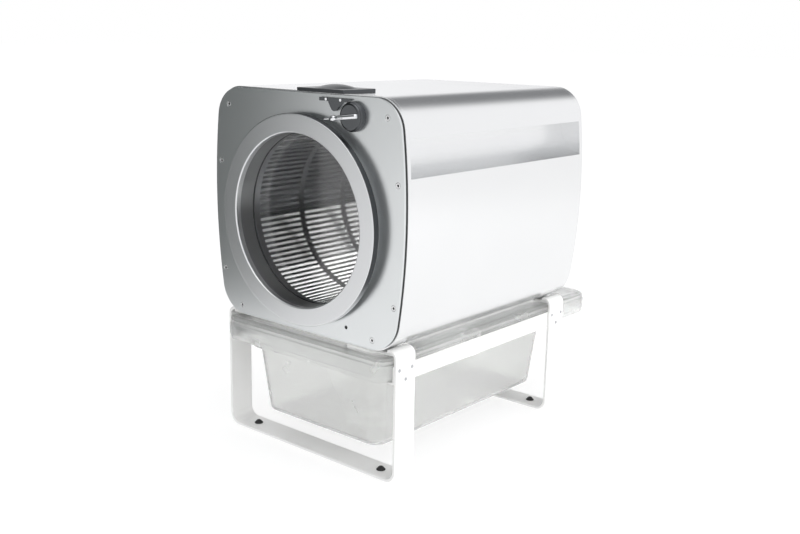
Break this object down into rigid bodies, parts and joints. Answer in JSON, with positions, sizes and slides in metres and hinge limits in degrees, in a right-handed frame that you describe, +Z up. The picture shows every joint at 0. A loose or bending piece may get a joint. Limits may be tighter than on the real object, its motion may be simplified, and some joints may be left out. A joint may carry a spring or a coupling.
{
  "type": "rotary drum machine",
  "caption": "Bench-top rotary drum machine: slotted drum behind a round clear door in a metal housing, over a slide-out bin in a strap stand.",
  "frame": {"origin": "middle of the bounding box, on the surface that the feet stand on", "axes": "+Z up, front with the door towards -Y, +X to the right of someone who faces the door"},
  "size_m": [0.368, 0.529, 0.5305],
  "materials": {
    "anodised_shell": "satin anodised",
    "anodised_plate": "satin anodised, slightly darker than the shell",
    "anodised_ring": "satin anodised with a bright turned edge",
    "dark_aluminium": "dark anodised",
    "stainless": "polished stainless",
    "steel": "plain",
    "chrome": "polished",
    "white_sheet": "white powder coat",
    "white_strap": "white powder coat",
    "motor_grey": "satin",
    "black_plastic": "moulded",
    "grey_plastic": "moulded",
    "hazy_plastic": "translucent, lightly frosted",
    "clear_plastic": "clear",
    "black_rubber": "moulded"
  },
  "bodies": {
    "housing": {"housing_shell": "anodised_shell", "front_frame": "anodised_shell", "rear_frame": "anodised_shell", "front_gasket": "black_rubber", "rear_gasket": "black_rubber", "front_plate": "anodised_plate", "rear_plate": "anodised_plate", "plate_screws": "steel", "chute_sheets": "white_sheet", "mouth_seal": "black_rubber", "rear_bulkhead": "dark_aluminium", "bearing_housing": "steel", "shaft_bearing": "steel", "roller_axles": "steel", "gear_motor": "motor_grey", "motor_screws": "steel", "drive_belt": "black_rubber", "control_box": "grey_plastic", "power_inlet": "black_plastic", "switch_bezel": "black_plastic", "speed_dial_nut": "steel", "stand_strap_front": "white_strap", "stand_strap_rear": "white_strap", "support_bars": "white_strap", "side_rail_left": "white_strap", "side_rail_right": "white_strap", "rail_screws": "steel", "rubber_feet": "black_rubber", "foot_screws": "black_rubber", "housing_bolts": "steel", "lock_boss": "dark_aluminium", "lock_keeper": "dark_aluminium", "keeper_screws": "chrome", "latch_cover": "dark_aluminium", "button_spring": "steel"},
    "door": {"door_ring": "anodised_ring", "door_spigot": "dark_aluminium", "door_window": "clear_plastic", "window_seal": "black_rubber", "window_clamp": "stainless", "window_screws": "steel"},
    "drum": {"drum_collar": "anodised_ring", "drum_cage": "stainless", "drum_rear_disc": "stainless", "drum_hub": "anodised_plate", "drum_disc_screws": "steel", "drive_shaft": "steel", "drum_pulley": "anodised_plate"},
    "motor_rotor": {"motor_shaft": "steel", "motor_pulley": "anodised_plate"},
    "roller_left": {"roller_left": "black_rubber"},
    "roller_right": {"roller_right": "black_rubber"},
    "catch_bin": {"bin": "hazy_plastic", "bin_lid": "clear_plastic"},
    "lock": {"lock_lever": "chrome", "lock_retainer": "steel"},
    "button": {"release_button": "dark_aluminium", "button_plunger": "steel"},
    "rocker": {"switch_rocker": "black_plastic"},
    "dial": {"speed_dial": "black_plastic"}
  },
  "joints": [
    {"name": "drum_spin", "type": "hinge", "parent": "housing", "child": "drum", "pos_m": [0, 0, 0.3455], "axis": [0, 1, 0], "continuous": true},
    {"name": "motor_spin", "type": "hinge", "parent": "housing", "child": "motor_rotor", "pos_m": [-0.134, 0, 0.2325], "axis": [0, 1, 0], "continuous": true},
    {"name": "roller_left_spin", "type": "hinge", "parent": "housing", "child": "roller_left", "pos_m": [-0.08383, 0, 0.22578], "axis": [0, 1, 0], "continuous": true},
    {"name": "roller_right_spin", "type": "hinge", "parent": "housing", "child": "roller_right", "pos_m": [0.08383, 0, 0.22578], "axis": [0, 1, 0], "continuous": true},
    {"name": "door_pull", "type": "slide", "parent": "housing", "child": "door", "axis": [0, -1, 0], "range_m": [0, 0.09]},
    {"name": "bin_slide", "type": "slide", "parent": "housing", "child": "catch_bin", "axis": [0, -1, 0], "range_m": [0, 0.36]},
    {"name": "lock_turn", "type": "hinge", "parent": "housing", "child": "lock", "pos_m": [0.0955, 0, 0.4925], "axis": [0, 1, 0], "range_deg": [0, 90]},
    {"name": "button_press", "type": "slide", "parent": "housing", "child": "button", "axis": [0, 0, -1], "range_m": [0, 0.0025], "stiffness_N_per_m": 900, "springref_m": -0.002, "deforming": ["button_spring"]},
    {"name": "switch_rock", "type": "hinge", "parent": "housing", "child": "rocker", "pos_m": [0.118, 0.1795, 0.2975], "axis": [1, 0, 0], "range_deg": [0, 18]},
    {"name": "dial_turn", "type": "hinge", "parent": "housing", "child": "dial", "pos_m": [0.118, 0.1815, 0.3555], "axis": [0, 1, 0], "range_deg": [-135, 135]}
  ],
  "couplings": [
    {"joint": "motor_spin", "follows": "drum_spin", "ratio": 5},
    {"joint": "roller_left_spin", "follows": "drum_spin", "ratio": -11.167},
    {"joint": "roller_right_spin", "follows": "drum_spin", "ratio": -11.167}
  ]
}
